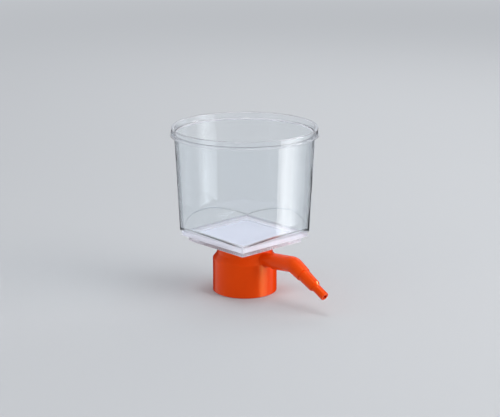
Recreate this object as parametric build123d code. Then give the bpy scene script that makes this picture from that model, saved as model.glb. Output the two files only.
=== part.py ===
from build123d import *
import os
from math import cos, degrees, radians, sin, sqrt, tan

# Vacuum filtration unit: a clear funnel on a square membrane base, standing on an orange
# adapter that screws onto a 45 mm bottle neck, with an angled hose connector on its side stub.
# Millimetres. +Z is up the funnel's axis, the origin is the centre of the neck's open mouth,
# the square base lies along X and Y, and the side stub points along +X.

# ---- Neck adapter -------------------------------------------------------------------
NECK_BORE_R = 23.2          # inside of the skirt, at the root of its 45 mm thread
SKIRT_WALL = 3.55
SKIRT_BORE_DEPTH = 26.2     # from the open mouth to the ledge that backs the gasket
LEDGE_THICKNESS = 2.0
LEDGE_WIDTH = 6.0           # how far the ledge stands in from the skirt's bore
SHOULDER_OVER_LEDGE = 0.1   # the shoulder starts this far above the ledge's top face
SHOULDER_HEIGHT = 4.6
SHOULDER_INSET = 3.45       # how far the hub stands in from the skirt's outside
HUB_WALL = 2.6
HUB_HEIGHT = 8.85           # from the shoulder's top to the underside of the plate
SKIRT_BEVEL = 0.7
SHOULDER_EDGE_R = 1.4

# ---- Side stub on the adapter -------------------------------------------------------
ARM_OVER_LEDGE = 0.65       # where the arm's axis meets the unit's axis, above the ledge
ARM_RISE = 5.5              # degrees that the stub climbs as it leaves the hub
STUB_SHOWING = 8.55         # from the skirt's outside to the stop, along the arm's axis
STUB_SHOULDER = 0.95        # radial width of the stop that the connector meets
SPIGOT_R = 4.8
SPIGOT_LENGTH = 14.0
SPIGOT_CHAMFER = 0.5
STUB_BORE_R = 2.5
STUB_ROOT_R = 1.0           # fillet where the stub grows out of the skirt, shoulder and hub

# ---- Hose connector -----------------------------------------------------------------
SWIVEL_CLEARANCE = 0.05     # radial, between the spigot and the connector's socket
STOP_GAP = 0.3              # axial, at both ends of the spigot
SOCKET_WALL = 1.8
SOCKET_CHAMFER = 0.4
SOCKET_LEG = 22.85          # from the stop to the corner of the bend
BARB_DIP = 28.1             # degrees that the barbed leg points below the horizontal
BEND_R = 8.0
BARB_BORE_R = 1.95
LAND_1_END = 12.9           # distances from the bend's corner to the end of each land
LAND_2_END = 26.8
BARB_LENGTH = 40.2
LAND_1_TAPER = 0.45
LAND_2_TAPER = 0.5
STEP_1 = 0.7                # radial drop from the first land to the second
STEP_2 = 1.45               # and from the second to the third
STEP_2_SLOPE = 2.4          # length over which the second drop is made
LAND_BEVEL = 0.25
BARB_EDGE_R = 0.4

# ---- Gasket -------------------------------------------------------------------------
GASKET_THICKNESS = 2.0
GASKET_GROOVE = 0.5         # depth of the undercut that holds the gasket in the skirt
GASKET_CLEARANCE = 0.1      # radial, in the undercut

# ---- Square base: membrane, plate and the funnel's square skirt ---------------------
MEMBRANE_WINDOW = 57.6      # side of the open filtering square
MEMBRANE_MARGIN = 1.5       # clamped border of the membrane on each side
MEMBRANE_THICKNESS = 0.14
MEMBRANE_CLEARANCE = 0.03   # over it, under it
MEMBRANE_EDGE_CLEARANCE = 0.2
WELD_CLEARANCE = 0.02       # between the plate's land and the floor that it is welded to
PLATE_RIM_WALL = 3.85
PLATE_DEPTH = 6.85          # from the plate's underside to the seat of the membrane
PLATE_BEVEL = 0.3
PLATE_EXPOSED = 4.6         # height of the plate that shows under the funnel's skirt
PLATE_CLEARANCE = 0.2       # between the plate and the skirt around it
DRAIN_FLOOR_EDGE = 2.2      # thickness under the drain floor at the rim
DRAIN_FLOOR_CENTRE = 1.4    # and at the outlet
RIB_WIDTH = 1.3
RIB_PITCH = 4.1
RIB_SHORTEST = 2.0
GUTTER_WIDTH = 2.2          # open channel along each diagonal of the drain
OUTLET_BORE_R = 2.8
OUTLET_TIP_WALL = 1.1
OUTLET_TAPER = 0.7
OUTLET_TIP_OVER_NECK = 0.5  # the drip tube ends just clear of the bottle's lip
RING_CLEARANCE = 0.05       # between the plate's locating ring and the hub's bore
RING_WALL = 2.0
RING_OVER_BORE = 2.4        # the ring ends this far above the stub's bore
RING_CHAMFER = 0.5

# ---- Funnel -------------------------------------------------------------------------
BASE_WALL = 3.6             # square skirt around the plate
FLOOR_THICKNESS = 1.2
BASE_CORNER_R = 1.0
BASE_BEVEL = 0.25
FUNNEL_DEPTH = 89.4         # from the floor's top face to the rim
CORNER_COVER = 1.04         # how far the round wall's foot passes outside the base's corners
WALL_SPREAD = 4.1           # how far the wall leans out over its height
WALL_THICKNESS = 2.2
FACET_ANGLE = 28.8          # degrees that the four flat facets climb from the square base
FACET_THICKNESS = 1.5
FACET_EDGE_R = 1.4          # outside, where each facet meets the round wall
FACET_ROOT_R = 2.0          # the same inside
RIM_STEP = 2.45             # how far the rim's band stands out from the wall's top
RIM_BAND_HEIGHT = 5.2
RIM_BAND_WALL = 2.2
RIM_FLANGE_PROUD = 0.9
RIM_FLANGE_THICKNESS = 1.2
LID_SEAT_DEPTH = 4.5
RIM_EDGE_R = 0.5
FLANGE_BEVEL = 0.25
LID_SEAT_BEVEL = 0.5
LIP_BEVEL = 0.35            # inner edge of the rim, at the mouth of the lid seat
MARK_WIDTH = 2.6            # two small upright ribs on the band, opposite each other
MARK_PROUD = 0.5
MARK_ANGLE = -51.5

# ---- Sizes that follow from those above ----------------------------------------------
SKIRT_OUTER_R = NECK_BORE_R + SKIRT_WALL
GASKET_Z = SKIRT_BORE_DEPTH - GASKET_THICKNESS
GASKET_SEAT_R = NECK_BORE_R + GASKET_GROOVE
LEDGE_HOLE_R = NECK_BORE_R - LEDGE_WIDTH
LEDGE_TOP_Z = SKIRT_BORE_DEPTH + LEDGE_THICKNESS
SHOULDER_Z = LEDGE_TOP_Z + SHOULDER_OVER_LEDGE
SHOULDER_TOP_Z = SHOULDER_Z + SHOULDER_HEIGHT
HUB_OUTER_R = SKIRT_OUTER_R - SHOULDER_INSET
HUB_BORE_R = HUB_OUTER_R - HUB_WALL

RISE = radians(ARM_RISE)
DIP = radians(BARB_DIP)
ARM_AXIS_Z = LEDGE_TOP_Z + ARM_OVER_LEDGE
STUB_R = SPIGOT_R + STUB_SHOULDER
STUB_STOP = SKIRT_OUTER_R + STUB_SHOWING
SPIGOT_END = STUB_STOP + SPIGOT_LENGTH
BEND_DISTANCE = STUB_STOP + SOCKET_LEG
SOCKET_R = SPIGOT_R + SWIVEL_CLEARANCE
CONNECTOR_R = SOCKET_R + SOCKET_WALL
LAND_2_R = CONNECTOR_R - LAND_1_TAPER - STEP_1
LAND_3_R = LAND_2_R - LAND_2_TAPER - STEP_2

PLATE_Z = SHOULDER_TOP_Z + HUB_HEIGHT
PLATE_TOP_Z = PLATE_Z + PLATE_DEPTH
BASE_Z = PLATE_Z + PLATE_EXPOSED
MEMBRANE_Z = PLATE_TOP_Z + MEMBRANE_CLEARANCE
FLOOR_UNDERSIDE_Z = MEMBRANE_Z + MEMBRANE_THICKNESS + MEMBRANE_CLEARANCE
FLOOR_Z = FLOOR_UNDERSIDE_Z + FLOOR_THICKNESS
MEMBRANE_SIDE = MEMBRANE_WINDOW + 2 * MEMBRANE_MARGIN
DRAIN_SIDE = MEMBRANE_WINDOW + MEMBRANE_MARGIN
PLATE_SIDE = DRAIN_SIDE + 2 * PLATE_RIM_WALL
POCKET_SIDE = PLATE_SIDE + 2 * PLATE_CLEARANCE
BASE_SIDE = POCKET_SIDE + 2 * BASE_WALL
OUTLET_TIP_Z = GASKET_Z + OUTLET_TIP_OVER_NECK
OUTLET_TIP_R = OUTLET_BORE_R + OUTLET_TIP_WALL
RING_R = HUB_BORE_R - RING_CLEARANCE
RING_Z = ARM_AXIS_Z + HUB_BORE_R * tan(RISE) + STUB_BORE_R / cos(RISE) + RING_OVER_BORE

RIM_Z = FLOOR_Z + FUNNEL_DEPTH
WALL_FOOT_R = BASE_SIDE / sqrt(2) + CORNER_COVER
WALL_TOP_R = WALL_FOOT_R + WALL_SPREAD
RIM_BAND_R = WALL_TOP_R + RIM_STEP
RIM_FLANGE_R = RIM_BAND_R + RIM_FLANGE_PROUD
LID_SEAT_R = RIM_BAND_R - RIM_BAND_WALL
LID_SEAT_Z = RIM_Z - LID_SEAT_DEPTH
BAND_Z = RIM_Z - RIM_BAND_HEIGHT
FLANGE_Z = BAND_Z - RIM_FLANGE_THICKNESS

os.makedirs("parts", exist_ok=True)


def disc(radius, low, high):
    """Upright cylinder on the unit's axis between two heights."""
    return Pos(0, 0, (low + high) / 2) * Cylinder(radius, high - low)


def square_block(side, low, high, corner_r=0.0):
    """Square block centred on the unit's axis between two heights, with rounded corners."""
    block = Pos(0, 0, (low + high) / 2) * Box(side, side, high - low)
    if corner_r > 0:
        block = fillet(block.edges().filter_by(Axis.Z), corner_r)
    return block


def turned(points, rounded=(), bevelled=()):
    """Solid of revolution about Z from (radius, height) points.

    rounded and bevelled list (index of the point, size) for each corner that is broken.
    """
    outline = Polyline(*[(r, 0, z) for r, z in points], close=True)
    profile = make_face(outline)
    for breaks, tool in ((rounded, fillet), (bevelled, chamfer)):
        for index, size in breaks:
            r, z = points[index]
            corner = profile.vertices().sort_by_distance((r, 0, z))[0]
            profile = tool(corner, size)
    return revolve(profile, Axis.Z)


def square_frustum(low_side, low, high_side, high):
    """Solid with four flat sloping sides between a low and a high square on the unit's axis."""
    corners = [(0.5, 0.5), (-0.5, 0.5), (-0.5, -0.5), (0.5, -0.5)]
    foot = [Vector(x * low_side, y * low_side, low) for x, y in corners]
    head = [Vector(x * high_side, y * high_side, high) for x, y in corners]
    outlines = [foot, head]
    outlines += [[foot[i - 1], foot[i], head[i], head[i - 1]] for i in range(4)]
    return Solid(Shell([Face(Wire.make_polygon(points)) for points in outlines]))


# ---- The arm's axis, shared by the stub and the hose connector -----------------------
ARM_DIRECTION = Vector(cos(RISE), 0, sin(RISE))
BARB_DIRECTION = Vector(cos(DIP), 0, -sin(DIP))
ARM_START = Vector(0, 0, ARM_AXIS_Z)
BEND_CORNER = ARM_START + ARM_DIRECTION * BEND_DISTANCE
BEND_TANGENT = BEND_R * tan((RISE + DIP) / 2)


def along_arm(solid, distance):
    """Places a solid that was built up from Z = 0 on the arm's axis, starting at a distance."""
    start = ARM_START + ARM_DIRECTION * distance
    return Plane(origin=start, x_dir=(0, 1, 0), z_dir=ARM_DIRECTION).location * solid


def along_barb(solid):
    """Places a solid built along Z, measured from the bend's corner, on the barbed leg's axis."""
    return Plane(origin=BEND_CORNER, x_dir=(0, 1, 0), z_dir=BARB_DIRECTION).location * solid


def bend(radius):
    """Round bar bent through the connector's turn, tangent to both legs."""
    start = BEND_CORNER - ARM_DIRECTION * BEND_TANGENT
    section = Plane(origin=start, x_dir=(0, 1, 0), z_dir=ARM_DIRECTION) * Circle(radius)
    centre = start + Vector(sin(RISE), 0, -cos(RISE)) * BEND_R
    return revolve(section, Axis(centre, (0, 1, 0)), degrees(RISE + DIP))


# ---- Neck adapter -------------------------------------------------------------------
def make_neck_adapter():
    body = turned(
        [
            (NECK_BORE_R, 0),
            (SKIRT_OUTER_R, 0),
            (SKIRT_OUTER_R, SHOULDER_Z),
            (HUB_OUTER_R, SHOULDER_TOP_Z),
            (HUB_OUTER_R, PLATE_Z),
            (HUB_BORE_R, PLATE_Z),
            (HUB_BORE_R, LEDGE_TOP_Z),
            (LEDGE_HOLE_R, LEDGE_TOP_Z),
            (LEDGE_HOLE_R, SKIRT_BORE_DEPTH),
            (GASKET_SEAT_R, SKIRT_BORE_DEPTH),
            (GASKET_SEAT_R, GASKET_Z),
            (NECK_BORE_R, GASKET_Z),
        ],
        rounded=[(2, SHOULDER_EDGE_R), (3, SHOULDER_EDGE_R)],
        bevelled=[(1, SKIRT_BEVEL)],
    )
    root = HUB_OUTER_R - HUB_WALL / 2
    stub = along_arm(Pos(0, 0, (STUB_STOP - root) / 2) * Cylinder(STUB_R, STUB_STOP - root), root)
    spigot = along_arm(Pos(0, 0, SPIGOT_LENGTH / 2) * Cylinder(SPIGOT_R, SPIGOT_LENGTH), STUB_STOP)
    spigot = chamfer(spigot.edges().sort_by(Axis.X)[-1], SPIGOT_CHAMFER)
    inside = disc(GASKET_SEAT_R, 0, SKIRT_BORE_DEPTH) + disc(HUB_BORE_R, LEDGE_TOP_Z, PLATE_Z)
    bore_start = HUB_BORE_R - HUB_WALL
    bore_length = SPIGOT_END - bore_start + 1
    bore = along_arm(Pos(0, 0, bore_length / 2) * Cylinder(STUB_BORE_R, bore_length), bore_start)
    body = body + (stub - inside)
    seams = body.edges().filter_by(GeomType.BSPLINE)
    body = fillet([seam for seam in seams if HUB_BORE_R < seam.center().X < STUB_STOP], STUB_ROOT_R)
    return body + spigot - bore


# ---- Hose connector -----------------------------------------------------------------
def make_hose_connector():
    socket_start = STUB_STOP + STOP_GAP
    leg_length = BEND_DISTANCE - BEND_TANGENT - socket_start
    leg = Pos(0, 0, leg_length / 2) * Cylinder(CONNECTOR_R, leg_length)
    leg = along_arm(chamfer(leg.edges().sort_by(Axis.Z)[0], SOCKET_CHAMFER), socket_start)
    barb = turned(
        [
            (0, BEND_TANGENT),
            (CONNECTOR_R, BEND_TANGENT),
            (CONNECTOR_R - LAND_1_TAPER, LAND_1_END),
            (LAND_2_R, LAND_1_END),
            (LAND_2_R - LAND_2_TAPER, LAND_2_END),
            (LAND_3_R, LAND_2_END + STEP_2_SLOPE),
            (LAND_3_R, BARB_LENGTH),
            (0, BARB_LENGTH),
        ],
        rounded=[(6, BARB_EDGE_R)],
        bevelled=[(2, LAND_BEVEL)],
    )
    outside = leg + bend(CONNECTOR_R) + along_barb(barb)
    socket_length = SPIGOT_LENGTH
    socket = along_arm(Pos(0, 0, socket_length / 2) * Cylinder(SOCKET_R, socket_length), socket_start)
    throat_start = socket_start + socket_length
    throat_length = BEND_DISTANCE - BEND_TANGENT - throat_start
    throat = along_arm(Pos(0, 0, throat_length / 2) * Cylinder(BARB_BORE_R, throat_length), throat_start)
    barb_bore_length = BARB_LENGTH - BEND_TANGENT + 1
    barb_bore = Pos(0, 0, BEND_TANGENT + barb_bore_length / 2) * Cylinder(BARB_BORE_R, barb_bore_length)
    return outside - socket - throat - bend(BARB_BORE_R) - along_barb(barb_bore)


# ---- Neck gasket --------------------------------------------------------------------
def make_neck_gasket():
    ring = disc(GASKET_SEAT_R - GASKET_CLEARANCE, GASKET_Z, SKIRT_BORE_DEPTH)
    return ring - disc(LEDGE_HOLE_R, GASKET_Z, SKIRT_BORE_DEPTH)


# ---- Support plate ------------------------------------------------------------------
def drain_floor_z(distance):
    """Height of the drain floor at a distance from the centre, towards the middle of a side."""
    half = DRAIN_SIDE / 2
    centre_z = PLATE_Z + DRAIN_FLOOR_CENTRE
    edge_z = PLATE_Z + DRAIN_FLOOR_EDGE
    return centre_z + (edge_z - centre_z) * distance / half


def make_drain_ribs():
    """Comb of ribs in each quadrant, square to its side and stopping short of the diagonals."""
    ribs = []
    half = DRAIN_SIDE / 2
    widest = half - RIB_WIDTH / 2 - GUTTER_WIDTH / sqrt(2) - RIB_SHORTEST
    last = int(widest / RIB_PITCH)
    for index in range(-last, last + 1):
        offset = index * RIB_PITCH
        inner = abs(offset) + RIB_WIDTH / 2 + GUTTER_WIDTH / sqrt(2)
        inner = max(inner, OUTLET_BORE_R + GUTTER_WIDTH)
        length = half - inner
        height = PLATE_TOP_Z - PLATE_Z - DRAIN_FLOOR_CENTRE / 2
        rib = Box(length, RIB_WIDTH, height)
        rib = Pos(inner + length / 2, offset, PLATE_TOP_Z - height / 2) * rib
        ribs += [Rot(0, 0, 90 * quarter) * rib for quarter in range(4)]
    return ribs


def make_support_plate():
    land_z = FLOOR_UNDERSIDE_Z - WELD_CLEARANCE
    seat_side = MEMBRANE_SIDE + 2 * MEMBRANE_EDGE_CLEARANCE
    block = square_block(PLATE_SIDE, PLATE_Z, land_z, BASE_CORNER_R)
    block = chamfer(block.edges().group_by(Axis.Z)[0], PLATE_BEVEL)
    block = block - square_block(seat_side, PLATE_TOP_Z, land_z, BASE_CORNER_R)
    half = DRAIN_SIDE / 2
    upper = square_block(DRAIN_SIDE, drain_floor_z(half), PLATE_TOP_Z)
    outlet_side = 2 * OUTLET_BORE_R
    slopes = square_frustum(
        outlet_side, drain_floor_z(OUTLET_BORE_R), DRAIN_SIDE, drain_floor_z(half)
    )
    body = block - upper - slopes + make_drain_ribs()
    ring = disc(RING_R, RING_Z, PLATE_Z) - disc(RING_R - RING_WALL, RING_Z, PLATE_Z)
    ring = chamfer(ring.edges().group_by(Axis.Z)[0].sort_by(SortBy.RADIUS)[-1], RING_CHAMFER)
    spout = turned(
        [
            (0, OUTLET_TIP_Z),
            (OUTLET_TIP_R, OUTLET_TIP_Z),
            (OUTLET_TIP_R + OUTLET_TAPER, PLATE_Z),
            (0, PLATE_Z),
        ]
    )
    return body + ring + spout - disc(OUTLET_BORE_R, OUTLET_TIP_Z, PLATE_TOP_Z)


# ---- Membrane -----------------------------------------------------------------------
def make_membrane():
    return square_block(MEMBRANE_SIDE, MEMBRANE_Z, MEMBRANE_Z + MEMBRANE_THICKNESS, BASE_CORNER_R)


# ---- Funnel -------------------------------------------------------------------------
def facet_envelope(foot_side, low, high):
    """Space inside four planes that climb outwards from a square at the given height."""
    grow = 2 * (high - low) / tan(radians(FACET_ANGLE))
    return square_frustum(foot_side, low, foot_side + grow, high)


def make_funnel():
    lean = WALL_SPREAD / (FLANGE_Z - FLOOR_Z)
    seat_wall_r = WALL_FOOT_R + lean * (LID_SEAT_Z - FLOOR_Z) - WALL_THICKNESS
    facet_top_z = FLOOR_Z + (RIM_FLANGE_R - BASE_SIDE / 2) * tan(radians(FACET_ANGLE)) + 1

    outside = turned(
        [
            (0, FLOOR_Z),
            (WALL_FOOT_R, FLOOR_Z),
            (WALL_TOP_R, FLANGE_Z),
            (RIM_FLANGE_R, FLANGE_Z),
            (RIM_FLANGE_R, BAND_Z),
            (RIM_BAND_R, BAND_Z),
            (RIM_BAND_R, RIM_Z),
            (0, RIM_Z),
        ],
        rounded=[(6, RIM_EDGE_R)],
        bevelled=[(3, FLANGE_BEVEL), (4, FLANGE_BEVEL)],
    )
    envelope = facet_envelope(BASE_SIDE, FLOOR_Z, facet_top_z)
    envelope = envelope + square_block(2 * RIM_FLANGE_R + 2, facet_top_z, RIM_Z)
    outside = outside & envelope
    outside = fillet(outside.edges().filter_by(GeomType.ELLIPSE), FACET_EDGE_R)

    inside = turned(
        [
            (0, FLOOR_Z),
            (WALL_FOOT_R - WALL_THICKNESS, FLOOR_Z),
            (seat_wall_r, LID_SEAT_Z),
            (LID_SEAT_R, LID_SEAT_Z),
            (LID_SEAT_R, RIM_Z),
            (0, RIM_Z),
        ],
        bevelled=[(2, LID_SEAT_BEVEL)],
    )
    facet_shift = FACET_THICKNESS / sin(radians(FACET_ANGLE))
    inner_envelope = facet_envelope(BASE_SIDE - 2 * facet_shift, FLOOR_Z, facet_top_z)
    inner_envelope = inner_envelope + square_block(2 * RIM_FLANGE_R + 2, facet_top_z, RIM_Z)
    inside = inside & inner_envelope
    inside = fillet(inside.edges().filter_by(GeomType.ELLIPSE), FACET_ROOT_R)

    cup = outside - inside
    lip = cup.edges().group_by(Axis.Z)[-1].sort_by(SortBy.RADIUS)[0]
    cup = chamfer(lip, LIP_BEVEL)

    base = square_block(BASE_SIDE, BASE_Z, FLOOR_Z, BASE_CORNER_R)
    base = chamfer(base.edges().group_by(Axis.Z)[0], BASE_BEVEL)
    pocket = square_block(POCKET_SIDE, BASE_Z, FLOOR_UNDERSIDE_Z, BASE_CORNER_R)
    window = square_block(MEMBRANE_WINDOW, FLOOR_UNDERSIDE_Z, FLOOR_Z, BASE_CORNER_R)

    mark = Pos(RIM_BAND_R, 0, (BAND_Z + RIM_Z - RIM_EDGE_R) / 2) * Box(
        2 * MARK_PROUD, MARK_WIDTH, RIM_Z - RIM_EDGE_R - BAND_Z
    )
    marks = [Rot(0, 0, MARK_ANGLE + turn) * mark for turn in (0, 180)]
    return cup + marks + base - pocket - window


NODES = {
    "neck_adapter": make_neck_adapter,
    "hose_connector": make_hose_connector,
    "neck_gasket": make_neck_gasket,
    "support_plate": make_support_plate,
    "membrane": make_membrane,
    "funnel": make_funnel,
}

for name, make in NODES.items():
    export_step(make(), f"parts/{name}.step")
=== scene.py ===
import math

import bmesh
import bpy
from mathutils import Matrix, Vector


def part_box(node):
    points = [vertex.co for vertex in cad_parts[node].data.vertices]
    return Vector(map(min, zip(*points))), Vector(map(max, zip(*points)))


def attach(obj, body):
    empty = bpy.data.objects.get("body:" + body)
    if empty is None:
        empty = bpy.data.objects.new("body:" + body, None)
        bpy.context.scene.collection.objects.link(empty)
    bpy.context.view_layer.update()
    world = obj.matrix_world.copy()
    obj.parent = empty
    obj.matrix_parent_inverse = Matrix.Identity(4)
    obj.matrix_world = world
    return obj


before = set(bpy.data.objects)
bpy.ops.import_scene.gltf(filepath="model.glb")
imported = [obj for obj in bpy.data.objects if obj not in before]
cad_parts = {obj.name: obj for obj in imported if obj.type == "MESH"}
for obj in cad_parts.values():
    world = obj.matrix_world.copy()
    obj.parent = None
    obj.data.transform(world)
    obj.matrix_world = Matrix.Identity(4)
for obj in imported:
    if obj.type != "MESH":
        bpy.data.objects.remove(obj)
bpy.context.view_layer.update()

# Lengths are in metres and angles in degrees, unless a comment says otherwise.

# ---- Camera -------------------------------------------------------------------------
CAMERA_AZIMUTH = 47.05      # round from the -Y side towards +X
CAMERA_DISTANCE = 1.2329    # level distance from the unit's axis
CAMERA_HEIGHT = 0.4026      # above the floor that the unit stands on
CAMERA_PITCH = 15.10        # down
CAMERA_YAW = 0.20           # to the right of the unit's axis
CAMERA_LENS = 111.05        # millimetres
CAMERA_SENSOR = 36.0        # millimetres


def round_the_axis(turn, distance, height):
    """Point at a level distance from the axis, turned from the camera's side towards its right."""
    angle = math.radians(CAMERA_AZIMUTH + turn)
    return Vector((distance * math.sin(angle), -distance * math.cos(angle), height))


def make_camera():
    data = bpy.data.cameras.new("camera")
    data.lens = CAMERA_LENS
    data.sensor_width = CAMERA_SENSOR
    camera = bpy.data.objects.new("camera", data)
    camera.location = round_the_axis(0, CAMERA_DISTANCE, CAMERA_HEIGHT)
    camera.rotation_euler = (
        math.radians(90 - CAMERA_PITCH),
        0,
        math.radians(CAMERA_AZIMUTH - CAMERA_YAW),
    )
    bpy.context.scene.collection.objects.link(camera)
    bpy.context.scene.camera = camera


# ---- Shader nodes -------------------------------------------------------------------
NOISE_ROUGHNESS = 0.55


class Nodes:
    """Short hand for building one node tree. Most methods return the socket of their result."""

    def __init__(self, tree):
        self.tree = tree

    def add(self, kind, **settings):
        """New node itself, for the few that have more to set."""
        node = self.tree.nodes.new("ShaderNode" + kind)
        for name, value in settings.items():
            setattr(node, name, value)
        return node

    def feed(self, value, socket):
        """Links another socket to this one, or sets a constant on it."""
        if isinstance(value, bpy.types.NodeSocket):
            self.tree.links.new(value, socket)
        else:
            socket.default_value = value

    def place(self, kind="Object"):
        return self.add("TexCoord").outputs[kind]

    def ray(self, kind):
        """1 for rays of one kind, 0 for the others."""
        return self.add("LightPath").outputs[f"Is {kind} Ray"]

    def split(self, vector):
        """Its three parts, along X, Y and Z."""
        node = self.add("SeparateXYZ")
        self.feed(vector, node.inputs["Vector"])
        return [node.outputs[axis] for axis in "XYZ"]

    def maths(self, operation, *values):
        node = self.add("Math", operation=operation)
        for value, socket in zip(values, node.inputs):
            self.feed(value, socket)
        return node.outputs["Value"]

    def ranged(self, value, low, high, start=0.0, end=1.0):
        """low where value is at start, high where it is at end, even between and level beyond."""
        node = self.add("MapRange")
        self.feed(value, node.inputs["Value"])
        self.feed(start, node.inputs["From Min"])
        self.feed(end, node.inputs["From Max"])
        self.feed(low, node.inputs["To Min"])
        self.feed(high, node.inputs["To Max"])
        return node.outputs["Result"]

    def noise(self, scale, detail=3.0):
        node = self.add("TexNoise")
        self.feed(self.place(), node.inputs["Vector"])
        self.feed(scale, node.inputs["Scale"])
        self.feed(detail, node.inputs["Detail"])
        self.feed(NOISE_ROUGHNESS, node.inputs["Roughness"])
        return node.outputs["Fac"]

    def colours(self, value, stops):
        """Colour that follows value through stops, which are (place from 0 to 1, colour) in order."""
        node = self.add("ValToRGB")
        ramp = node.color_ramp.elements
        for place, _ in stops[1:-1]:
            ramp.new(place)
        for stop, (place, colour) in zip(ramp, stops):
            stop.position = place
            stop.color = (*colour, 1)
        self.feed(value, node.inputs["Fac"])
        return node.outputs["Color"]

    def blended(self, value, low, high):
        return self.colours(value, [(0.0, low), (1.0, high)])

    def levels(self, value, stops):
        """The same in greys: each stop is (place from 0 to 1, level)."""
        return self.colours(value, [(place, (level, level, level)) for place, level in stops])

    def bumped(self, height, distance):
        node = self.add("Bump")
        self.feed(1.0, node.inputs["Strength"])
        self.feed(distance, node.inputs["Distance"])
        self.feed(height, node.inputs["Height"])
        return node.outputs["Normal"]

    def shader(self, kind, **inputs):
        """inputs are constants or sockets, with underscores for the spaces in their names."""
        node = self.add("Bsdf" + kind)
        for name, value in inputs.items():
            self.feed(value, node.inputs[name.replace("_", " ")])
        return node.outputs["BSDF"]

    def mixed(self, share, first, second):
        """share goes from 0, all first, to 1, all second."""
        node = self.add("MixShader")
        for value, socket in zip((share, first, second), node.inputs):
            self.feed(value, socket)
        return node.outputs["Shader"]

    def output(self, surface, volume=None):
        node = self.add("OutputMaterial")
        self.feed(surface, node.inputs["Surface"])
        if volume is not None:
            self.feed(volume, node.inputs["Volume"])


def new_material(name):
    """Empty material, with the short hand for its nodes."""
    material = bpy.data.materials.new(name)
    material.use_nodes = True
    material.node_tree.nodes.clear()
    return material, Nodes(material.node_tree)


# ---- Clear plastic ------------------------------------------------------------------
POLYSTYRENE_IOR = 1.59
GLASS_COLOUR = (0.97, 0.985, 0.99, 1)
GLASS_ROUGHNESS = (0.008, 0.03)
RIPPLE_SCALE = 38.0                 # of the slow waves that the moulding leaves
RIPPLE_DEPTH = 0.0003
POLISH_SCALE = 420.0                # of the noise that varies the gloss
DEPTH_COLOUR = (0.5, 0.66, 0.8, 1)  # tint of light that goes a long way through the plastic
DEPTH_DENSITY = 32.0
THIN_COLOUR = (0.98, 0.98, 0.99, 1)
THIN_ROUGHNESS = (0.12, 0.22)
LAMP_TINT = (0.95, 0.96, 0.97, 1)   # of lamp light behind a clear surface
# Milky white, with a faint pink tint painted in for the orange adapter's light glowing in the
# plastic.
MILK_AND_GLOW_COLOUR = (0.96, 0.92, 0.945, 1)

# Shares of the light that a face scatters.
WALL_HAZE = 0.01
RIM_HAZE = 0.05
BASE_HAZE = 0.3
SHELL_HAZE = 0.24           # upright walls of the support plate
RIB_HAZE = 0.85             # and its drain ribs
EDGE_HIGHLIGHT_HAZE = 0.6            # painted highlight: milky white added on small bevels, so that they show as bright edge lines
HAZE_EDGE = 0.0006          # distance over which the haze changes

DOT_PITCH = 0.0026          # of the painted light and dark dots in the plate's walls that stand for the drain ribs seen through them
DOT_HAZE = 0.1              # how much haze they add or take
DOT_CUT = 0.8               # the dots' wave is cut flat at this share of its height

# Upward part of the normal, from 0 on upright faces to 1 on level ones. Each pair is a slope.
UPRIGHT_TO_BEVEL = (0.55, 0.65)
BEVEL_TO_LEVEL = (0.78, 0.88)
SLOPE_TO_LEVEL = (0.85, 0.95)


def lean(n):
    """Upward part of the face's normal."""
    normal = n.add("NewGeometry").outputs["True Normal"]
    return n.maths("ABSOLUTE", n.split(normal)[2])


def bevels(n):
    """1 on faces that lean about 45 degrees, 0 on upright and level ones: where bright edge lines are
    painted.
    """
    part = lean(n)
    not_upright = n.ranged(part, 0.0, 1.0, *UPRIGHT_TO_BEVEL)
    not_level = n.ranged(part, 1.0, 0.0, *BEVEL_TO_LEVEL)
    return n.maths("MULTIPLY", not_upright, not_level)


def painted_comb_dots(n):
    """Rows of small painted light and dark dots along upright walls, for the drain ribs seen through
    them, from -DOT_HAZE to DOT_HAZE.
    """
    x, y, z = n.split(n.place())
    wave = 2 * math.pi / DOT_PITCH
    along = n.maths("SINE", n.maths("MULTIPLY", n.maths("ADD", x, y), wave))
    up = n.maths("SINE", n.maths("MULTIPLY", z, wave / 2))
    return n.ranged(n.maths("MULTIPLY", along, up), -DOT_HAZE, DOT_HAZE, -DOT_CUT, DOT_CUT)


def milky_body(n):
    """Milky white, tinted with a painted pink glow, that shines from both of its sides."""
    front = n.shader("Diffuse", Color=MILK_AND_GLOW_COLOUR)
    back = n.shader("Translucent", Color=MILK_AND_GLOW_COLOUR)
    return n.mixed(0.5, front, back)


def lit_through(n, surface):
    """Lets lamp light pass a clear surface, a little tinted, so that it casts no black shadow."""
    return n.mixed(n.ray("Shadow"), surface, n.shader("Transparent", Color=LAMP_TINT))


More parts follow.
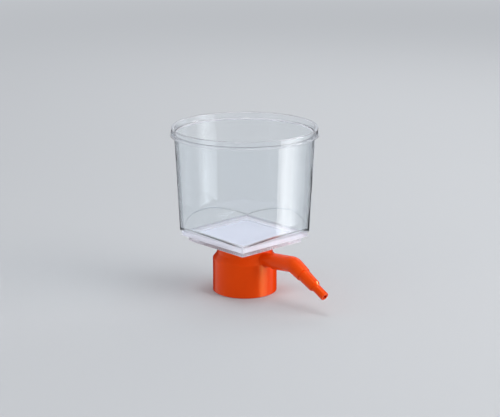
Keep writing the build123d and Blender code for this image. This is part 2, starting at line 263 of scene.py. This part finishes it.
def clear_plastic(name, base_top, rim_foot):
    """Refracting polystyrene, a little milky in the base below base_top and the rim over rim_foot."""
    material, n = new_material(name)
    clear = n.shader(
        "Principled",
        Transmission_Weight=1.0,
        IOR=POLYSTYRENE_IOR,
        Base_Color=GLASS_COLOUR,
        Roughness=n.ranged(n.noise(POLISH_SCALE), *GLASS_ROUGHNESS),
        Normal=n.bumped(n.noise(RIPPLE_SCALE, detail=1.0), RIPPLE_DEPTH),
    )
    height = n.split(n.place())[2]
    over_base = (base_top, base_top + HAZE_EDGE)
    into_rim = (rim_foot, rim_foot + HAZE_EDGE)
    base_and_wall = n.ranged(height, BASE_HAZE, WALL_HAZE, *over_base)
    rim = n.ranged(height, 0.0, RIM_HAZE - WALL_HAZE, *into_rim)
    # Painted highlight: more milky white on the bevels of the base and the rim, so that they show as
    # bright edge lines.
    base_edge_highlight = n.ranged(height, EDGE_HIGHLIGHT_HAZE, 0.0, *over_base)
    rim_edge_highlight = n.ranged(height, 0.0, EDGE_HIGHLIGHT_HAZE, *into_rim)
    edge_highlights = n.maths("MULTIPLY", bevels(n), n.maths("ADD", base_edge_highlight, rim_edge_highlight))
    haze = n.maths("ADD", n.maths("ADD", base_and_wall, rim), edge_highlights)
    depth = n.add("VolumeAbsorption")
    n.feed(DEPTH_COLOUR, depth.inputs["Color"])
    n.feed(DEPTH_DENSITY, depth.inputs["Density"])
    n.output(lit_through(n, n.mixed(haze, clear, milky_body(n))), depth.outputs["Volume"])
    return material


def thin_ribbed_plastic(name, drain_half, rib_foot):
    """Polystyrene in thin walls: sight goes straight through, with gloss and haze on each face.

    The ribs, nearer to the axis than drain_half and over rib_foot, scatter more light than the
    upright walls, whose haze carries painted light and dark dots for the ribs seen through them
    and a painted highlight on their bevels. Other level faces are clear.
    """
    material, n = new_material(name)
    fresnel = n.add("Fresnel")
    n.feed(POLYSTYRENE_IOR, fresnel.inputs["IOR"])
    see_through = n.shader("Transparent", Color=THIN_COLOUR)
    polish = n.ranged(n.noise(POLISH_SCALE), *THIN_ROUGHNESS)
    gloss = n.shader("Glossy", Color=(1, 1, 1, 1), Roughness=polish)
    clear = n.mixed(fresnel.outputs["Fac"], see_through, gloss)
    x, y, z = n.split(n.place())
    out_from_axis = n.maths("MAXIMUM", n.maths("ABSOLUTE", x), n.maths("ABSOLUTE", y))
    inside = n.ranged(out_from_axis, RIB_HAZE - SHELL_HAZE, 0.0, drain_half, drain_half + HAZE_EDGE)
    ribs = n.maths("MULTIPLY", inside, n.ranged(z, 0.0, 1.0, rib_foot - HAZE_EDGE, rib_foot))
    # Painted highlight: more milky white on the plate's bevels, so that they show as bright edge
    # lines.
    shell_haze_and_highlight = n.ranged(bevels(n), SHELL_HAZE, SHELL_HAZE + EDGE_HIGHLIGHT_HAZE)
    not_level = n.ranged(lean(n), 1.0, 0.0, *SLOPE_TO_LEVEL)
    # Painted light and dark dots for the drain ribs seen through the upright walls.
    walls = n.maths("MULTIPLY", n.maths("ADD", shell_haze_and_highlight, painted_comb_dots(n)), not_level)
    haze = n.maths("ADD", ribs, walls)
    n.output(lit_through(n, n.mixed(haze, clear, milky_body(n))))
    return material


# ---- Opaque plastic, membrane and foam ----------------------------------------------
ORANGE_COLOURS = ((0.80, 0.048, 0.001), (0.88, 0.060, 0.002))
ORANGE_MOTTLE_SCALE = 60.0
ORANGE_IOR = 1.49
ORANGE_GLOSS_TINT = (1.0, 0.58, 0.14, 1)
ORANGE_ROUGHNESS = (0.15, 0.24)
ORANGE_POLISH_SCALE = 900.0
ORANGE_GRAIN_SCALE = 2600.0
ORANGE_GRAIN_DEPTH = 0.00002
MEMBRANE_COLOURS = ((0.64, 0.64, 0.72), (0.72, 0.72, 0.80))
FOAM_COLOURS = ((0.70, 0.70, 0.66), (0.82, 0.82, 0.79))
MATT_IOR = 1.4


def orange_plastic(name):
    """Satin orange moulding with a very fine grain."""
    material, n = new_material(name)
    surface = n.shader(
        "Principled",
        IOR=ORANGE_IOR,
        Specular_IOR_Level=0.5,
        Specular_Tint=ORANGE_GLOSS_TINT,
        Base_Color=n.blended(n.noise(ORANGE_MOTTLE_SCALE), *ORANGE_COLOURS),
        Roughness=n.ranged(n.noise(ORANGE_POLISH_SCALE), *ORANGE_ROUGHNESS),
        Normal=n.bumped(n.noise(ORANGE_GRAIN_SCALE), ORANGE_GRAIN_DEPTH),
    )
    n.output(surface)
    return material


def matt(name, colours, roughness, mottle_scale, grain_scale, grain_depth):
    """Matt surface that varies between two near colours and has a grain."""
    material, n = new_material(name)
    surface = n.shader(
        "Principled",
        IOR=MATT_IOR,
        Roughness=roughness,
        Base_Color=n.blended(n.noise(mottle_scale), *colours),
        Normal=n.bumped(n.noise(grain_scale), grain_depth),
    )
    n.output(surface)
    return material


# ---- Neck thread --------------------------------------------------------------------
NECK_BORE = 0.0232          # radius of the neck adapter's skirt, inside
THREAD_PITCH = 0.004
THREAD_TURNS = 1.9
THREAD_START = 0.0045       # height of the thread's middle at its lower end
THREAD_DEPTH = 0.0017       # how far it stands in from the bore
THREAD_WIDTH = 0.0024       # at the bore
THREAD_SINK = 0.000068      # how far its root reaches into the skirt's wall
THREAD_STEPS = 64           # a turn
THREAD_FADE = 0.12          # turns over which it rises out of the bore at each end
# One flank from the bore to the crest, as shares of the width from the middle and of the depth.
THREAD_FLANK = [(0.5, 0.0), (0.24, 0.7), (0.14, 0.97)]


def thread_section(depth):
    """Outline of the thread, as (height from its middle, distance in from the bore)."""
    lower = [(-across, inward) for across, inward in THREAD_FLANK]
    shape = [*lower, (0.0, 1.0), *reversed(THREAD_FLANK)]
    return [
        (-THREAD_WIDTH / 2, -THREAD_SINK),
        *((across * THREAD_WIDTH, inward * depth) for across, inward in shape),
        (THREAD_WIDTH / 2, -THREAD_SINK),
    ]


def make_neck_thread(material):
    """Right-handed thread that stands in from the skirt's bore and fades out at both ends."""
    mesh = bmesh.new()
    steps = round(THREAD_TURNS * THREAD_STEPS)
    rings = []
    for step in range(steps + 1):
        turn = step / THREAD_STEPS
        rise = min(1.0, turn / THREAD_FADE, (steps / THREAD_STEPS - turn) / THREAD_FADE)
        depth = THREAD_DEPTH * math.sin(rise * math.pi / 2) ** 2
        cosine = math.cos(2 * math.pi * turn)
        sine = math.sin(2 * math.pi * turn)
        middle = THREAD_START + THREAD_PITCH * turn
        ring = []
        for up, inward in thread_section(depth):
            radius = NECK_BORE - inward
            ring.append(mesh.verts.new((radius * cosine, radius * sine, middle + up)))
        rings.append(ring)
    for lower, upper in zip(rings, rings[1:]):
        for index in range(len(lower)):
            after = (index + 1) % len(lower)
            mesh.faces.new((lower[index], lower[after], upper[after], upper[index]))
    mesh.faces.new(rings[0][::-1])
    mesh.faces.new(rings[-1])
    bmesh.ops.recalc_face_normals(mesh, faces=mesh.faces)
    for face in mesh.faces:
        face.smooth = len(face.verts) == 4
    data = bpy.data.meshes.new("neck_thread")
    mesh.to_mesh(data)
    mesh.free()
    data.materials.append(material)
    thread = bpy.data.objects.new("neck_thread", data)
    bpy.context.scene.collection.objects.link(thread)
    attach(thread, "filter_unit")


# ---- Stage --------------------------------------------------------------------------
HORIZON = (0.29, 0.305, 0.33)   # light that the surroundings give at floor level
ZENITH = (0.68, 0.70, 0.74)     # and straight above
BACKDROP = (0.56, 0.58, 0.61)   # how pale the far floor and the horizon look
FLOOR_SIDE = 80.0
FLOOR_FADE = (0.45, 2.2)        # distances over which the floor turns into the backdrop
FLAG_COLOUR = (0.02, 0.02, 0.025, 1)


def seen(n):
    """1 for rays that look at the backdrop, 0 for those that gather its light."""
    direct_or_gloss = n.maths("MAXIMUM", n.ray("Camera"), n.ray("Glossy"))
    return n.maths("MAXIMUM", direct_or_gloss, n.ray("Transmission"))


def aim(thing, place, target):
    thing.location = place
    thing.rotation_euler = (Vector(target) - Vector(place)).to_track_quat("-Z", "Y").to_euler()


def make_card(name, width, height, material):
    """Flat rectangle that belongs to the studio and not to the object."""
    mesh = bpy.data.meshes.new(name)
    corners = [(x * width / 2, y * height / 2, 0) for x, y in ((-1, -1), (1, -1), (1, 1), (-1, 1))]
    mesh.from_pydata(corners, [], [(0, 1, 2, 3)])
    mesh.materials.append(material)
    card = bpy.data.objects.new(name, mesh)
    bpy.context.scene.collection.objects.link(card)
    return card


def make_floor():
    """Wide pale floor that takes the object's shadow and turns into the backdrop further out."""
    material, n = new_material("pale_floor")
    # The sky's brightness rises evenly with height, so what it sends to a level floor averages
    # two thirds of the way from HORIZON to ZENITH. This albedo makes the floor HORIZON's colour.
    albedo = [low / (low + (high - low) * 2 / 3) for low, high in zip(HORIZON, ZENITH)]
    near = n.shader("Diffuse", Color=(*albedo, 1))
    far = n.add("Emission")
    n.feed((*BACKDROP, 1), far.inputs["Color"])
    distance = n.add("VectorMath", operation="LENGTH")
    n.feed(n.place(), distance.inputs[0])
    fade = n.ranged(distance.outputs["Value"], 0.0, 1.0, *FLOOR_FADE)
    n.output(n.mixed(n.maths("MULTIPLY", fade, seen(n)), near, far.outputs["Emission"]))
    floor = make_card("floor", FLOOR_SIDE, FLOOR_SIDE, material)
    floor.visible_glossy = False


def make_sky():
    """Plain dome that brightens evenly from the horizon up. It looks paler than it lights."""
    world = bpy.data.worlds.new("world")
    world.use_nodes = True
    n = Nodes(world.node_tree)
    height = n.split(n.place("Generated"))[2]
    mix = n.add("Mix", data_type="RGBA")
    n.feed(seen(n), mix.inputs["Factor"])
    light, look = [socket for socket in mix.inputs if socket.type == "RGBA"]
    n.feed(n.blended(height, HORIZON, ZENITH), light)
    n.feed(n.blended(height, BACKDROP, ZENITH), look)
    result = [socket for socket in mix.outputs if socket.type == "RGBA"][0]
    n.feed(result, world.node_tree.nodes["Background"].inputs["Color"])
    bpy.context.scene.world = world


def make_flag(name, turn, distance, width, height):
    """Dark card that shows only in gloss, and draws the edges of the clear walls."""
    material, n = new_material(name)
    n.output(n.shader("Diffuse", Color=FLAG_COLOUR))
    card = make_card(name, width, height, material)
    aim(card, round_the_axis(turn, distance, 0), (0, 0, 0))
    for ray in ("camera", "diffuse", "transmission", "shadow", "volume_scatter"):
        setattr(card, "visible_" + ray, False)


# ---- Lamps --------------------------------------------------------------------------
LIT_POINT = Vector((0, 0, 0.07))    # about the middle of the unit
BAND_TURN = 78                      # where both bands stand, from the camera's side
BAND_DISTANCE = 0.22
BAND_FOOT = -0.15


def make_softbox(name, place, width, height, radiance, hidden_from=(), target=LIT_POINT):
    """Soft rectangular lamp that the camera and the kinds of ray in hidden_from don't see."""
    data = bpy.data.lights.new(name, "AREA")
    data.shape = "RECTANGLE"
    data.size = width
    data.size_y = height
    data.energy = radiance * math.pi * width * height
    lamp = bpy.data.objects.new(name, data)
    aim(lamp, place, target)
    for ray in ("camera", *hidden_from):
        setattr(lamp, "visible_" + ray, False)
    bpy.context.scene.collection.objects.link(lamp)
    return lamp


def make_band(name, near_side, far_side, top, radiance, across, upward, hidden_from):
    """Upright lamp close by that lights nothing and only shows in gloss or through clear parts.

    It stands square to the line from the axis, and reaches near_side from it towards the camera
    and far_side away. across and upward are levels along its sides, as (share of the side, level).
    """
    height = top - BAND_FOOT
    centre = round_the_axis(BAND_TURN, BAND_DISTANCE, BAND_FOOT + height / 2)
    shift = round_the_axis(BAND_TURN - 90, (near_side - far_side) / 2, 0)
    target = shift + Vector((0, 0, centre.z))
    lamp = make_softbox(
        name, centre + shift, near_side + far_side, height, radiance, ("diffuse", hidden_from), target
    )
    lamp.data.use_nodes = True
    n = Nodes(lamp.data.node_tree)
    x, y, _ = n.split(n.add("NewGeometry").outputs["Parametric"])
    level = n.maths("MULTIPLY", n.levels(x, across), n.levels(y, upward))
    n.feed(level, n.tree.nodes["Emission"].inputs["Color"])


def light_the_stage():
    for_shade_only = ("glossy", "transmission")
    make_softbox(
        "key", round_the_axis(turn=72, distance=1.5, height=0.75),
        width=1.2, height=1.2, radiance=4.6, hidden_from=for_shade_only,
    )
    make_softbox(
        "fill", round_the_axis(turn=-55, distance=1.5, height=0.6),
        width=1.2, height=1.0, radiance=1.2, hidden_from=for_shade_only,
    )
    make_softbox("top", Vector((0, 0, 1.6)), width=0.35, height=0.35, radiance=9.0)
    make_softbox(
        "back", round_the_axis(turn=165, distance=1.2, height=0.85),
        width=1.2, height=0.5, radiance=2.5, hidden_from=("transmission",),
    )
    # Bright strip on the funnel's near wall and on the adapter.
    make_band(
        "front_band", near_side=0.115, far_side=0.04, top=0.4, radiance=4.6,
        across=[(0.0, 0.5), (0.35, 1.0), (1.0, 0.0)],
        upward=[(0.0, 1.0), (1.0, 1.0)],
        hidden_from="transmission",
    )
    # Softer strip that shows through the funnel.
    make_band(
        "back_band", near_side=0.085, far_side=0.11, top=0.15, radiance=3.2,
        across=[(0.0, 0.35), (0.55, 1.0), (1.0, 0.0)],
        upward=[(0.0, 1.0), (0.5, 1.0), (1.0, 0.3)],
        hidden_from="glossy",
    )
    # Glints on the hose connector's steps.
    make_softbox(
        "spark", round_the_axis(turn=92, distance=0.65, height=0.28),
        width=0.16, height=0.12, radiance=40.0, hidden_from=("diffuse", "transmission"),
    )
    make_flag("right_flag", turn=140, distance=0.9, width=0.7, height=1.2)
    make_flag("left_flag", turn=-150, distance=0.9, width=0.5, height=1.2)


# ---- Pieces -------------------------------------------------------------------------
RIM_DEPTH = 0.0066              # from the rim to just under its flange
FLOOR_OVER_MEMBRANE = 0.00125   # from the membrane to just over the top face of the floor round it
PLATE_RIM_WALL = 0.00385        # round the drain ribs
DRAIN_FLOOR = 0.00135           # just under the least thickness of the floor that the ribs stand on


def paint(node, material):
    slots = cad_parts[node].data.materials
    slots.clear()
    slots.append(material)


def paint_pieces():
    base_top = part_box("membrane")[1].z + FLOOR_OVER_MEMBRANE
    rim_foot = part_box("funnel")[1].z - RIM_DEPTH
    paint("funnel", clear_plastic("clear_polystyrene", base_top, rim_foot))
    drain_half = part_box("support_plate")[1].y - PLATE_RIM_WALL
    rib_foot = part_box("neck_adapter")[1].z + DRAIN_FLOOR
    paint("support_plate", thin_ribbed_plastic("clear_plate", drain_half, rib_foot))
    membrane = matt(
        "white_membrane", MEMBRANE_COLOURS, roughness=0.85,
        mottle_scale=1800.0, grain_scale=5200.0, grain_depth=0.00003,
    )
    paint("membrane", membrane)
    orange = orange_plastic("orange_plastic")
    paint("neck_adapter", orange)
    make_neck_thread(orange)
    paint("hose_connector", orange_plastic("orange_connector"))
    foam = matt(
        "gasket_foam", FOAM_COLOURS, roughness=0.9,
        mottle_scale=900.0, grain_scale=3000.0, grain_depth=0.00008,
    )
    paint("neck_gasket", foam)


make_camera()
make_floor()
make_sky()
light_the_stage()
paint_pieces()
bpy.context.scene.view_settings.view_transform = "Standard"
